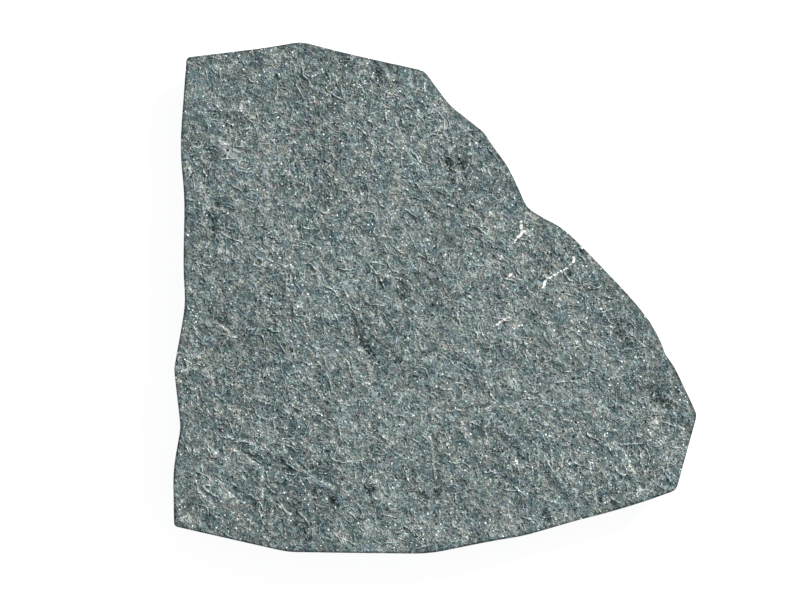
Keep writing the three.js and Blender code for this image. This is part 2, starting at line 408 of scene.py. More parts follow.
# Broad patches that are paler or darker than the rest: middle, reach and change of tone
PATCHES = [
    (-105, 120, 60, -0.030),
    (100, -63, 24, 0.035),
    (109, -80, 26, 0.030),
    (55, 52, 22, 0.030),
    (10, 75, 34, -0.035),
    (-44, -25, 22, -0.040),
    (-80, -132, 45, -0.035),
    (5, -110, 34, -0.030),
    (-50, 85, 40, 0.020),
    (130, -52, 22, -0.035),
    (-81, 77, 60, -0.035),
    (129, -100, 45, 0.040),
    (33, -105, 40, -0.040),
    (-78, -43, 50, 0.035),
    (100, -62, 11, 0.090),
]


def give(tree, socket, value):
    """Joins a socket to another node's output, or sets its value."""
    if isinstance(value, bpy.types.NodeSocket):
        tree.links.new(value, socket)
    else:
        socket.default_value = value


def add(tree, kind, inputs, **settings):
    """A new node with its settings made and its named inputs joined or set."""
    made = tree.nodes.new(kind)
    for name, value in settings.items():
        setattr(made, name, value)
    for name, value in inputs.items():
        give(tree, made.inputs[name], value)
    return made


def sums(tree, operation, *values):
    """One step of arithmetic."""
    made = tree.nodes.new("ShaderNodeMath")
    made.operation = operation
    for socket, value in zip(made.inputs, values):
        give(tree, socket, value)
    return made.outputs[0]


def total(tree, *values):
    """The sum of several numbers."""
    result = values[0]
    for value in values[1:]:
        result = sums(tree, "ADD", result, value)
    return result


def product(tree, *values):
    """The product of several numbers."""
    result = values[0]
    for value in values[1:]:
        result = sums(tree, "MULTIPLY", result, value)
    return result


def vectors(tree, operation, *values):
    """One step of arithmetic on vectors."""
    made = tree.nodes.new("ShaderNodeVectorMath")
    made.operation = operation
    for socket, value in zip((s for s in made.inputs if s.enabled), values):
        give(tree, socket, value)
    return next(s for s in made.outputs if s.enabled)


def ease(tree, value, low, high, start=0.0, end=1.0):
    """A smooth change from start to end while the value goes from low to high."""
    made = add(tree, "ShaderNodeMapRange",
               {"Value": value, "From Min": low, "From Max": high, "To Min": start, "To Max": end},
               interpolation_type="SMOOTHSTEP")
    return made.outputs["Result"]


relief = bpy.data.node_groups.new("stone_relief", "GeometryNodeTree")
relief.interface.new_socket("Geometry", in_out="OUTPUT", socket_type="NodeSocketGeometry")
RELIEF_INPUTS = {
    "Geometry": ("NodeSocketGeometry", None),
    "Ledges": ("NodeSocketObject", guides["Ledges"]),
    "Hollows": ("NodeSocketObject", guides["Hollows"]),
    "Veins": ("NodeSocketObject", guides["Veins"]),
    "Lip": ("NodeSocketObject", guides["Lip"]),
    "Lump Height": ("NodeSocketFloat", 0.38),
    "Flake Thickness": ("NodeSocketFloat", 0.26),
    "Ring Height": ("NodeSocketFloat", 0.8),
    "Ledge Height": ("NodeSocketFloat", 1.0),
    "Hollow Depth": ("NodeSocketFloat", 0.8),
    "Leaf Depth": ("NodeSocketFloat", 0.9),
    "Seed": ("NodeSocketFloat", 3.0),
    "Material": ("NodeSocketMaterial", None),
}
sockets = {name: relief.interface.new_socket(name, in_out="INPUT", socket_type=kind)
           for name, (kind, _) in RELIEF_INPUTS.items()}
entry = relief.nodes.new("NodeGroupInput").outputs
place = relief.nodes.new("GeometryNodeInputPosition").outputs[0]
normal = relief.nodes.new("GeometryNodeInputNormal").outputs["Normal"]
where = vectors(relief, "SCALE", place, 1000.0)
axes = add(relief, "ShaderNodeSeparateXYZ", {"Vector": where}).outputs
flat = add(relief, "ShaderNodeCombineXYZ", {"X": axes["X"], "Y": axes["Y"], "Z": 0.0}).outputs[0]
lean = add(relief, "ShaderNodeSeparateXYZ", {"Vector": normal}).outputs["Z"]
on_face = ease(relief, lean, 0.45, 0.85)
on_base = ease(relief, lean, -0.5, -0.9)
on_edge = sums(relief, "SUBTRACT", sums(relief, "SUBTRACT", 1.0, on_face), on_base)
turned = add(relief, "ShaderNodeVectorRotate", {"Vector": flat, "Angle": -GRAIN_ANGLE},
             rotation_type="Z_AXIS").outputs[0]
grained = vectors(relief, "MULTIPLY", turned, (1 / LUMP_STRETCH, 1.0, 1.0))


def noise(spot, size, detail, roughness, layer):
    """Noise between about -1 and 1 with lumps of the given size, each layer its own."""
    made = add(relief, "ShaderNodeTexNoise",
               {"Vector": spot, "W": total(relief, entry["Seed"], layer), "Scale": 1 / size, "Detail": detail,
                "Roughness": roughness}, noise_dimensions="4D", normalize=False)
    return made.outputs["Fac"]


def terraces(size, levels, layer):
    """Plates that the split left, each a flake thick, with a short step to the next."""
    level = product(relief, noise(grained, size, 3.0, 0.6, layer), levels)
    step = ease(relief, sums(relief, "FRACT", level), 0.0, 0.4)
    return total(relief, sums(relief, "FLOOR", level), step)


# Lumps of every size down to the net's own, and terraces of two sizes
lumps = product(relief, noise(grained, 10.0, 2.0, 0.73, 0.0), entry["Lump Height"])
plates = sums(relief, "MULTIPLY_ADD", terraces(7.0, 2.5, 40.0), 0.6, terraces(16.0, 3.0, 20.0))
steps = product(relief, plates, entry["Flake Thickness"])


def nearest(guide):
    """The nearest point of a guide's lines, and how far it is."""
    info = add(relief, "GeometryNodeObjectInfo", {"Object": entry[guide]})
    found = add(relief, "GeometryNodeProximity",
                {"Geometry": info.outputs["Geometry"], "Sample Position": flat}, target_element="EDGES")
    return found.outputs["Position"], found.outputs["Distance"]


def off_line(point, distance, way):
    """How far a spot lies ahead of the nearest line, towards a given way, and how far past the line's end."""
    ahead = vectors(relief, "DOT_PRODUCT", vectors(relief, "SUBTRACT", flat, point), (*way, 0.0))
    rest = sums(relief, "SUBTRACT", product(relief, distance, distance), product(relief, ahead, ahead))
    return ahead, sums(relief, "SQRT", sums(relief, "MAXIMUM", rest, 0.0))


# Flaked ledges: the plate lifts a little to its broken line, then drops, and the face past it mends
ledge_point, ledge_distance = nearest("Ledges")
ledge_ahead, ledge_past = off_line(ledge_point, ledge_distance, LIGHT_SIDE)
lift_up = ease(relief, ledge_ahead, -LEDGE_APPROACH, 0.0, 0.0, 0.45)
fall = ease(relief, ledge_ahead, 0.0, LEDGE_DROP)
mend = ease(relief, ledge_ahead, 0.8, LEDGE_MENDED, 0.0, 0.55)
ledge = total(relief, sums(relief, "SUBTRACT", lift_up, fall), mend)
beside = product(relief, ease(relief, ledge_past, 0.5, 5.0, 1.0, 0.0),
                 ease(relief, ledge_distance, 4.0, 8.0, 1.0, 0.0))
ledge = product(relief, ledge, beside, entry["Ledge Height"])

# Narrow hollows
sunk = ease(relief, nearest("Hollows")[1], 0.3, 4.5, 1.0, 0.0)
hollow = product(relief, sunk, entry["Hollow Depth"], -1.0)

# The small ring, a crest round a shallow cup
from_ring = vectors(relief, "DISTANCE", flat, (*RING_MIDDLE, 0.0))
from_crest = sums(relief, "ABSOLUTE", sums(relief, "SUBTRACT", from_ring, RING_RADIUS))
ring_crest = ease(relief, from_crest, 0.0, 0.9, 1.0, 0.0)
ring_cup = ease(relief, from_ring, 0.5, RING_RADIUS, 0.25, 0.0)
ring = product(relief, sums(relief, "SUBTRACT", ring_crest, ring_cup), entry["Ring Height"])

# Broad pale and dark patches of the rock, for its colour alone
patch = 0.0
for x, y, patch_reach, change in PATCHES:
    from_middle = vectors(relief, "DISTANCE", flat, (x, y, 0.0))
    patch = total(relief, patch, ease(relief, from_middle, 0.0, patch_reach, change, 0.0))

# Leaves of the broken edge, cut back unevenly, and a little roughness under the stone
leaf_where = vectors(relief, "MULTIPLY", where, (1 / 9.0, 1 / 9.0, 1 / 1.5))
leaves = noise(leaf_where, 1.0, 2.0, 0.6, 60.0)
torn = noise(where, 5.0, 2.0, 0.65, 80.0)
cut_back = sums(relief, "MINIMUM", 0.0, total(relief, leaves, torn, -0.35))
under_lip = ease(relief, axes["Z"], 18.5, 21.0, 1.0, 0.0)
cut_back = product(relief, cut_back, entry["Leaf Depth"], product(relief, on_edge, under_lip))
scar = sums(relief, "MAXIMUM", 0.0, noise(grained, 22.0, 3.0, 0.6, 90.0))
scar = product(relief, scar, 1.2, on_base)

# The solid's facets are eased out, and the relief is added on top
smooth_z = add(relief, "GeometryNodeBlurAttribute",
               {"Value": axes["Z"], "Iterations": 5, "Weight": on_face}, data_type="FLOAT").outputs["Value"]
rim = nearest("Lip")[1]
inland = ease(relief, rim, 0.8, 5.0)
ease_out = product(relief, sums(relief, "SUBTRACT", smooth_z, axes["Z"]), product(relief, on_face, inland))
height = total(relief, total(relief, lumps, steps), total(relief, ledge, hollow), ring)
lift = total(relief, ease_out, scar, product(relief, height, on_face))
push = vectors(relief, "MULTIPLY", vectors(relief, "SCALE", normal, cut_back), (0.001, 0.001, 0.0))
lift_vector = add(relief, "ShaderNodeCombineXYZ", {"X": 0.0, "Y": 0.0, "Z": product(relief, lift, 0.001)})
offset = vectors(relief, "ADD", push, lift_vector.outputs[0])

# What the material needs to know of the relief: low and high spots, painted darker and paler as light and
# shade, the arris, painted darker as shade, the ledges and the veins
even = add(relief, "GeometryNodeBlurAttribute", {"Value": height, "Iterations": 10, "Weight": 1.0},
           data_type="FLOAT").outputs["Value"]
# High spots and the ring's crest are painted paler, low spots and its cup darker: painted light and shade.
proud = product(relief, sums(relief, "SUBTRACT", height, even), on_face)
proud = sums(relief, "MULTIPLY_ADD", ring, 3.0, proud)
# The rounded arris all round the lip is painted darker: painted shade.
arris = product(relief, ease(relief, rim, 0.3, 1.5, 1.0, 0.0), ease(relief, lean, -0.15, 0.2),
                ease(relief, axes["Z"], 19.0, 21.0))
vein_across, vein_past = off_line(*nearest("Veins"), VEIN_SIDE)
marks = {"proud": proud, "arris": arris, "wall": on_edge, "sunk": sunk, "patch": patch,
         "ledge_ahead": ledge_ahead, "ledge_past": ledge_past,
         "vein_across": vein_across, "vein_past": vein_past}
flow = entry["Geometry"]
for name, value in marks.items():
    flow = add(relief, "GeometryNodeStoreNamedAttribute", {"Geometry": flow, "Name": name, "Value": value},
               data_type="FLOAT", domain="POINT").outputs["Geometry"]
for kind, inputs in (("SetPosition", {"Offset": offset}), ("SetShadeSmooth", {}), ("RealizeInstances", {}),
                     ("SetMaterial", {"Material": entry["Material"]})):
    flow = add(relief, "GeometryNode" + kind, {"Geometry": flow, **inputs}).outputs["Geometry"]
give(relief, relief.nodes.new("NodeGroupOutput").inputs["Geometry"], flow)

# Stone, its material: matt grey-green schist, a fine mix of pale quartz and dark mica and chlorite grains,
# with white quartz veins, bright flecks that are partly painted glints, dark dots of painted pit shade, and
# painted light and shade that follow the relief. All of it follows the stone's own coordinates.
BASE_TONE = 0.311
TONE_LIMITS = (0.05, 0.97)
ROCK_TINT = (-0.045, 0.011, 0.016)
TEAL_TO_MAUVE = (0.033, -0.008, -0.030)
GREEN_SHIFT = 0.026
VEIN_WHITE = (0.90, 0.90, 0.87, 1)
BUMP_HEIGHT = 0.0009  # metres
ROUGH, GLOSSY = 0.62, 0.34
schist = bpy.data.materials.new("schist")
schist.use_nodes = True
rock = schist.node_tree
spot = vectors(rock, "SCALE", rock.nodes.new("ShaderNodeTexCoord").outputs["Object"], 1000.0)
spun = add(rock, "ShaderNodeVectorRotate", {"Vector": spot, "Angle": -GRAIN_ANGLE}, rotation_type="Z_AXIS")
shiver = add(rock, "ShaderNodeTexNoise", {"Vector": spot, "Scale": 1 / 0.9, "Detail": 1.0}, normalize=False)
streaked = vectors(rock, "ADD", vectors(rock, "MULTIPLY", spun.outputs[0], (1 / 1.05, 1.0, 1.0)),
                   vectors(rock, "SCALE", shiver.outputs["Color"], 0.45))


def cells(size, shift):
    """Grains of the given size: how far each spot is from its grain's middle, and the grain's own numbers."""
    made = add(rock, "ShaderNodeTexVoronoi",
               {"Vector": vectors(rock, "ADD", streaked, (shift, 0.0, 0.0)), "Scale": 1 / size})
    number = add(rock, "ShaderNodeSeparateColor", {"Color": made.outputs["Color"]})
    return made.outputs["Distance"], number.outputs


def dots(size, shift, share, width):
    """Small round dots in a share of all grains of the given size, some stronger than others."""
    distance, number = cells(size, shift)
    radius = ease(rock, number["Green"], 1.0 - share, 1.0 - share / 3, -0.1, width)
    dot = ease(rock, sums(rock, "SUBTRACT", distance, radius), -0.09, 0.05, 1.0, 0.0)
    return product(rock, dot, sums(rock, "MULTIPLY_ADD", number["Blue"], 0.7, 0.3))


def mottle(where, size, detail, roughness, layer):
    """Noise between about -1 and 1 with patches of the given size, taken far off for each layer."""
    far_off = vectors(rock, "ADD", where, (31.7 * layer, 17.3 * layer, 0.0))
    made = add(rock, "ShaderNodeTexNoise",
               {"Vector": far_off, "Scale": 1 / size, "Detail": detail, "Roughness": roughness},
               normalize=False)
    return made.outputs["Fac"]


def threads(size, width, layer):
    """Thin winding lines: the crests or the cracks of the split."""
    fold = sums(rock, "ABSOLUTE", mottle(streaked, size, 1.0, 0.5, layer))
    return ease(rock, fold, 0.0, width, 1.0, 0.0)


def ridges(size, layer):
    """Sharp winding ridges about the given size apart, between 0 and 1."""
    fold = sums(rock, "ABSOLUTE", mottle(streaked, size, 1.0, 0.5, layer))
    slope = sums(rock, "SUBTRACT", 1.0, sums(rock, "MINIMUM", product(rock, fold, 2.4), 1.0))
    return product(rock, slope, slope)


def stored(name):
    """A number that the relief left on the stone."""
    return add(rock, "ShaderNodeAttribute", {}, attribute_name=name).outputs["Fac"]


def layered(base, *layers):
    """A base with patterns laid on it, each with its own weight."""
    for pattern, weight in layers:
        base = sums(rock, "MULTIPLY_ADD", pattern, weight, base)
    return base


# Ridges and mottling, then single pale and dark grains
mottling = mottle(streaked, 9.0, 4.0, 0.66, 1.0)
coarse = ridges(4.6, 8.0)
fine = product(rock, ridges(2.4, 9.0), sums(rock, "MULTIPLY_ADD", coarse, 0.5, 0.5))
# The ridges' tone is paler on their crests and darker between them: painted light and shade of the relief.
tone = layered(BASE_TONE, (mottling, 0.046), (coarse, 0.08), (fine, 0.22))
for size, shift, bright, dark in ((1.1, 0.0, 0.06, -0.05), (0.62, 40.0, 0.10, -0.08)):
    _, number = cells(size, shift)
    luck = sums(rock, "MULTIPLY_ADD", mottling, 0.08, number["Red"])
    tone = total(rock, tone, ease(rock, luck, 0.84, 1.02, 0.0, bright),
                 ease(rock, luck, 0.16, -0.02, 0.0, dark))
    tone = layered(tone, (number["Green"], 0.03))

# Crest lines and cracks, each broken off where the other starts. The crest lines are painted paler, as
# painted highlights on the crests, and the cracks darker, as painted shade; both also stand up as bumps.
stretches = mottle(spot, 4.0, 0.0, 0.5, 50.0)
crest_and_highlight_lines = sums(rock, "MAXIMUM", threads(5.0, 0.13, 30.0), threads(3.4, 0.16, 31.0))
crest_and_highlight_lines = product(rock, crest_and_highlight_lines, ease(rock, stretches, -0.1, 0.12))
crack_and_shade_lines = product(rock, threads(3.6, 0.15, 33.0), ease(rock, stretches, 0.1, -0.12))

# The bare scarp of each ledge, of uneven width, faces the key light and is painted paler: partly fresh rock,
# partly painted highlight. Then the beds that show on the broken edge
scarp_width = sums(rock, "MULTIPLY_ADD", mottle(spot, 2.0, 1.0, 0.5, 12.0), 0.35, 0.30)
scarp_and_highlight = sums(rock, "ABSOLUTE", sums(rock, "SUBTRACT", stored("ledge_ahead"), 0.35))
scarp_and_highlight = ease(rock, sums(rock, "SUBTRACT", scarp_and_highlight, scarp_width), -0.15, 0.25, 1.0, 0.0)
scarp_and_highlight = product(rock, scarp_and_highlight, ease(rock, stored("ledge_past"), 0.4, 1.5, 1.0, 0.0))
bedding = mottle(vectors(rock, "MULTIPLY", spot, (1 / 16.0, 1 / 16.0, 1 / 1.3)), 1.0, 2.0, 0.6, 50.0)
# The narrow hollows are painted darker, a little less on the fine ridges: painted shade.
painted_hollow_shade = sums(rock, "MULTIPLY_ADD", fine, 0.30, -0.17)
tone = layered(
    tone,
    (dots(1.7, 30.0, 0.36, 0.28), 0.84),  # pale flecks of quartz and painted glints
    (dots(1.8, 70.0, 0.38, 0.33), -0.85),  # dark dots: painted shade of small pits
    (dots(3.0, 110.0, 0.20, 0.24), -0.55),  # larger and rarer dark dots of painted pit shade
    # paler crest lines as painted highlights, and darker cracks as painted shade
    (crest_and_highlight_lines, 0.20),
    (crack_and_shade_lines, -0.04),
    (mottle(spot, 45.0, 2.0, 0.5, 2.0), 0.045),
    # paler on high spots, darker on low ones: painted light and shade of the relief
    (stored("proud"), 0.08),
    # the ledges' scarps painted paler, partly fresh rock and partly painted highlight
    (scarp_and_highlight, 0.07),
    # the hollows painted darker: painted shade
    (stored("sunk"), painted_hollow_shade),
    # the arris painted darker all round: painted shade
    (stored("arris"), -0.14),
    (stored("patch"), 0.65),
    (product(rock, bedding, stored("wall")), 0.12))
tone = sums(rock, "MINIMUM", sums(rock, "MAXIMUM", tone, TONE_LIMITS[0]), TONE_LIMITS[1])

# Ridges and threads too fine for the net stand up as bumps
bumps = layered(0.0, (coarse, 0.50), (fine, 0.38), (mottle(spot, 1.6, 1.0, 0.6, 10.0), 0.14),
                (crest_and_highlight_lines, 0.15), (crack_and_shade_lines, -0.05))
bump = add(rock, "ShaderNodeBump", {"Height": bumps, "Distance": BUMP_HEIGHT}).outputs["Normal"]

# The tone is a grey as the eye takes it. It is tinted green and varies from teal to mauve, warmer where
# the rock is paler, and painted warmer on the flanks that face the key light, the way the ledges drop:
# painted warm light.
hue_noise = add(rock, "ShaderNodeTexNoise",
                {"Vector": spot, "Scale": 1 / 3.8, "Detail": 3.0, "Roughness": 0.65}, normalize=False)
hue = add(rock, "ShaderNodeSeparateColor", {"Color": hue_noise.outputs["Color"]}).outputs
grey = add(rock, "ShaderNodeCombineXYZ",
           {"X": tone, "Y": layered(tone, (hue["Green"], GREEN_SHIFT)), "Z": tone}).outputs[0]
# Flanks that face the key light are painted warmer: painted warm light.
key_facing_flank = vectors(rock, "DOT_PRODUCT", bump, (*LIGHT_SIDE, 0.0))
key_facing_flank = product(rock, key_facing_flank, sums(rock, "SUBTRACT", 1.0, stored("wall")))
warmth_and_key_tint = layered(product(rock, hue["Red"], 0.75), (key_facing_flank, 0.8), (mottling, 0.5))
tinted = vectors(rock, "ADD", vectors(rock, "ADD", grey, ROCK_TINT),
                 vectors(rock, "SCALE", TEAL_TO_MAUVE, warmth_and_key_tint))
rock_colour = add(rock, "ShaderNodeGamma", {"Color": tinted, "Gamma": 2.2}).outputs[0]

# White veins of uneven width
vein_width = sums(rock, "MULTIPLY_ADD", mottle(spot, 2.2, 2.0, 0.6, 6.0), 0.7, 0.52)
vein = sums(rock, "SUBTRACT", sums(rock, "ABSOLUTE", stored("vein_across")), vein_width)
vein = product(rock, ease(rock, vein, -0.2, 0.15, 1.0, 0.0),
               ease(rock, stored("vein_past"), 0.3, 1.2, 1.0, 0.0))
veined = rock.nodes.new("ShaderNodeMix")
veined.data_type = "RGBA"
for socket, value in zip((s for s in veined.inputs if s.enabled), (vein, rock_colour, VEIN_WHITE)):
    give(rock, socket, value)
_, gloss = cells(2.1, 90.0)
shader = rock.nodes["Principled BSDF"]
give(rock, shader.inputs["Base Color"], next(s for s in veined.outputs if s.enabled))
give(rock, shader.inputs["Roughness"], ease(rock, gloss["Red"], 0.6, 1.0, ROUGH, GLOSSY))
shader.inputs["Specular IOR Level"].default_value = 0.4
give(rock, shader.inputs["Normal"], bump)

# Stone, its making: the relief is run once over the net, and its result is kept as a plain mesh that stands
# for the solid. The net and its guide lines are then put away.
modifier = net.modifiers.new("relief", "NODES")
modifier.node_group = relief
for name, (_, value) in RELIEF_INPUTS.items():
    if value is not None:
        modifier[sockets[name].identifier] = value
modifier[sockets["Material"].identifier] = schist
net.update_tag()
graph = bpy.context.evaluated_depsgraph_get()
stone_mesh = bpy.data.meshes.new_from_object(
    net.evaluated_get(graph), preserve_all_data_layers=True, depsgraph=graph)
stone_mesh.name = "split_stone"
split_stone = bpy.data.objects.new("split_stone", stone_mesh)
scene.collection.objects.link(split_stone)
for helper in (net, *guides.values()):
    bpy.data.objects.remove(helper)
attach(split_stone, "root")
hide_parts("stone")

# Flakes: thin scales of the same rock that still cling to the split face, each with one side standing proud.
# Each is a closed plate with its own ragged outline, sunk into the finished stone, and shares its material.
FLAKE_COUNT = 4700
FLAKE_CORNERS = 9
FLAKE_REACH = 2.0  # the middle radius of all flakes
FLAKE_SPREAD = 0.5  # how widely the radii differ
FLAKE_BEVEL = 0.30
FLAKE_TILT = (0.06, 0.32)  # least and most rise of a flake's proud side
FLAKE_TURN = 1.2  # radians by which the proud sides stray from the way that the ledges drop
FLAKE_ROOT = 0.45  # how far its foot is sunk
FLAKE_INSET = 1.6  # how far a flake's middle stays from the lip
FLAKE_MARGIN = 0.7  # and its outline


def corners_of(mesh):
    """A mesh's points in millimetres, and the corners of its triangles."""
    points = np.empty(len(mesh.vertices) * 3)
    mesh.vertices.foreach_get("co", points)
    corners = np.empty(len(mesh.loops), int)
    mesh.loops.foreach_get("vertex_index", corners)
    return points.reshape(-1, 3) * 1000, corners.reshape(-1, 3)


def strew(count, inset):
    """Random places on the split face, each with its distance from the lip."""
    spots = chance.uniform(face_loop.min(0), face_loop.max(0), (count * 2, 2))
    spots = spots[within(spots, face_loop)]
    rims = np.array([lip_tree.find((x, y, 0))[2] for x, y in spots])
    return spots[rims > inset][:count], rims[rims > inset][:count]


def stone_tops(spots):
    """The stone's height at each spot, and the triangle of the stone that lies there."""
    hits = [stone_tree.ray_cast(Vector((x, y, OVERHEAD)), DOWN) for x, y in spots.reshape(-1, 2)]
    return np.array([hit[0].z for hit in hits]).reshape(spots.shape[:-1]), np.array([hit[2] for hit in hits])


def flake_tops(spots, stone_heights):
    """The height of the topmost flake at each spot, or of the stone where no flake stands above it."""
    hits = [flake_tree.ray_cast(Vector((x, y, OVERHEAD)), DOWN)[0] for x, y in spots.reshape(-1, 2)]
    found = np.array([hit.z if hit else 0.0 for hit in hits]).reshape(spots.shape[:-1])
    return np.maximum(found, stone_heights)


def round_trip(corners):
    """The number of each corner of a ring, and of the corner after it."""
    here = np.arange(corners)
    return here, (here + 1) % corners


def many(name, shapes, pattern):
    """One mesh of many closed shapes whose points are joined in the same pattern of triangles. Its map is a
    plan of the split face, with the hidden undersides beside it."""
    count, each = shapes.shape[:2]
    joined = (pattern[None] + (np.arange(count) * each)[:, None, None]).reshape(-1, 3)
    mesh = bpy.data.meshes.new(name)
    mesh.from_pydata((shapes.reshape(-1, 3) / 1000).tolist(), [], joined.tolist())
    corners = shapes.reshape(-1, 3)[joined]
    hidden = np.cross(corners[:, 1] - corners[:, 0], corners[:, 2] - corners[:, 0])[:, 2] < 0
    plan = (corners[:, :, :2] - lip[:, :2].min(0)) / np.ptp(lip[:, :2], axis=0)
    plan[:, :, 0] = (plan[:, :, 0] + hidden[:, None]) / 2
    mesh.uv_layers.new(name="OFBake").data.foreach_set("uv", plan.ravel())
    return mesh


def take_marks(mesh, below, painted_light=0.0):
    """Copies the relief's marks from the stone's triangles that lie below a mesh's points, and adds painted
    light to the mark of high spots.
    """
    for name in marks:
        values = np.empty(len(stone_points))
        stone_mesh.attributes[name].data.foreach_get("value", values)
        taken_values = values[stone_corners[below]].mean(1)
        if name == "proud":
            taken_values = taken_values + painted_light
        mesh.attributes.new(name, "FLOAT", "POINT").data.foreach_set("value", taken_values)


def keep(name, mesh, material):
    """Makes a mesh a piece of the stone's surface."""
    mesh.materials.append(material)
    piece = bpy.data.objects.new(name, mesh)
    scene.collection.objects.link(piece)
    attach(piece, "root")


stone_points, stone_corners = corners_of(stone_mesh)
stone_tree = BVHTree.FromPolygons(stone_points.tolist(), stone_corners.tolist())
lip_tree = tree_of(lip)

flake_middles, flake_rims = strew(FLAKE_COUNT, FLAKE_INSET)
flake_count = len(flake_middles)
flake_reach = FLAKE_REACH * np.exp(chance.normal(0, FLAKE_SPREAD, flake_count))
flake_reach = np.minimum(flake_reach, flake_rims - FLAKE_MARGIN)[:, None]
flake_turn = np.arange(FLAKE_CORNERS) + chance.uniform(-0.42, 0.42, (flake_count, FLAKE_CORNERS))
flake_turn *= math.tau / FLAKE_CORNERS
stretch = chance.uniform(1.0, 2.0, (flake_count, 1))
ragged = flake_reach * chance.uniform(0.5, 1.0, flake_turn.shape)
lie = chance.uniform(0, math.tau, (flake_count, 1))
long_way, short_way = ragged * np.cos(flake_turn), ragged * np.sin(flake_turn) / stretch
outline = np.stack([long_way * np.cos(lie) - short_way * np.sin(lie),
                    long_way * np.sin(lie) + short_way * np.cos(lie)], axis=2)
shrunk = outline * (1 - np.minimum(FLAKE_BEVEL / flake_reach, 0.5))[:, :, None]
tilt = chance.uniform(*FLAKE_TILT, (flake_count, 1)) * np.minimum(flake_reach / 1.5, 1.0)
proud_side = chance.normal(LIGHT_ANGLE, FLAKE_TURN, (flake_count, 1))
flake_rise = tilt * np.cos(flake_turn + lie - proud_side)
middle = flake_middles[:, None, :]
flake_spots = np.concatenate([middle, middle + shrunk, middle + outline, middle], axis=1)
flake_lifts = np.concatenate([np.zeros((flake_count, 1)), flake_rise,
                              np.full((flake_count, FLAKE_CORNERS + 1), -FLAKE_ROOT)], axis=1)
flake_heights, flake_below = stone_tops(flake_spots)
flake_shapes = np.concatenate([flake_spots, (flake_heights + flake_lifts)[:, :, None]], axis=2)
here, after = round_trip(FLAKE_CORNERS)
top, foot, last = 1, 1 + FLAKE_CORNERS, 1 + 2 * FLAKE_CORNERS
plate = np.concatenate([
    np.column_stack([0 * here, top + here, top + after]),
    np.column_stack([top + here, foot + here, foot + after]),
    np.column_stack([top + here, foot + after, top + after]),
    np.column_stack([0 * here + last, foot + after, foot + here])])
flake_mesh = many("flakes", flake_shapes, plate)
take_marks(flake_mesh, flake_below)
keep("flakes", flake_mesh, schist)
flake_points, flake_corners = corners_of(flake_mesh)
flake_tree = BVHTree.FromPolygons(flake_points.tolist(), flake_corners.tolist())

# Hackles: short, sharp, winding crests where the leaves of the rock tore, and along the broken lines of
# the ledges. Each is a low closed ridge of the same rock, which winds over the face and the flakes with
# its foot sunk into them.
HACKLE_COUNT = 2800
HACKLE_INSET = 1.5
HACKLE_STATIONS = 10
HACKLE_STEP = (0.4, 1.6)  # from one station to the next
HACKLE_BEND = 0.28  # radians at each station
HACKLE_JAG = 0.2  # how far its joints are shaken
HACKLE_HALF = (0.6, 1.05)  # half the width of the foot
HACKLE_RISE = (0.2, 1.0)
HACKLE_ROOT = 0.16
LEDGE_CREST = (0.45, 0.85)  # the rise of those along the ledges
LEDGE_CREST_LENGTH = 7.0
LEDGE_BREAK = 4  # stations between the breaks of a ledge's crest
LEDGE_LEFT = (0.1, 1.15)  # how much of the crest is left at each break
LEDGE_JAG = 0.22
starts, _ = strew(HACKLE_COUNT, HACKLE_INSET)
bends = chance.normal(0, HACKLE_BEND, (len(starts), HACKLE_STATIONS))
bends[:, 0] = chance.uniform(0, math.tau, len(starts))
ways = np.cumsum(bends, axis=1)
runs = chance.uniform(*HACKLE_STEP, (len(starts), 1)) * chance.uniform(0.7, 1.3, ways.shape)
strides = np.stack([np.cos(ways), np.sin(ways)], axis=2) * runs[:, :, None]
hackle_lines = starts[:, None, :] + np.cumsum(strides, axis=1)
hackle_lines += chance.normal(0, HACKLE_JAG, hackle_lines.shape)
tapers = np.tile(np.sin(np.linspace(0.06, 0.94, HACKLE_STATIONS) * math.pi) ** 0.6, (len(starts), 1))
least_rise, most_rise = HACKLE_RISE
hackle_rise = least_rise + (most_rise - least_rise) * chance.uniform(0, 1, (len(starts), 1)) ** 2.2
for ledge_line in ledges:
    ledge_run = np.linalg.norm(np.diff(ledge_line, axis=0), axis=1).sum()
    parts = max(1, round(ledge_run / LEDGE_CREST_LENGTH))
    crest_line = spread(ledge_line, ledge_run / (parts * (HACKLE_STATIONS - 1) + 1))
    crest_line += chance.normal(0, LEDGE_JAG, crest_line.shape)
    crest_taper = np.sin(np.linspace(0.06, 0.94, len(crest_line)) * math.pi) ** 0.4
    breaks = np.arange(0, len(crest_line) + LEDGE_BREAK, LEDGE_BREAK)
    left_at_breaks = chance.uniform(*LEDGE_LEFT, len(breaks))
    crest_taper *= np.interp(np.arange(len(crest_line)), breaks, left_at_breaks)
    for part in range(parts):
        stations = slice(part * (HACKLE_STATIONS - 1), (part + 1) * (HACKLE_STATIONS - 1) + 1)
        hackle_lines = np.concatenate([hackle_lines, crest_line[None, stations]])
        tapers = np.concatenate([tapers, crest_taper[None, stations]])
        hackle_rise = np.concatenate([hackle_rise, chance.uniform(*LEDGE_CREST, (1, 1))])
ahead_way = np.gradient(hackle_lines, axis=1)
ahead_way /= np.linalg.norm(ahead_way, axis=2)[:, :, None]
side_way = np.stack([-ahead_way[:, :, 1], ahead_way[:, :, 0]], axis=2)
half = chance.uniform(*HACKLE_HALF, (len(tapers), 1)) * tapers * chance.uniform(0.8, 1.2, tapers.shape)
to_foot = side_way * half[:, :, None]
hackle_rise = hackle_rise * tapers * chance.uniform(0.35, 1.3, tapers.shape)
hackle_spots = np.stack([hackle_lines, hackle_lines + to_foot, hackle_lines - to_foot], axis=2)
on_stone = within(hackle_spots.reshape(-1, 2), face_loop).reshape(len(tapers), -1).all(1)
hackle_spots, hackle_rise = hackle_spots[on_stone], hackle_rise[on_stone]
hackle_heights, hackle_below = stone_tops(hackle_spots)
hackle_heights = flake_tops(hackle_spots, hackle_heights)
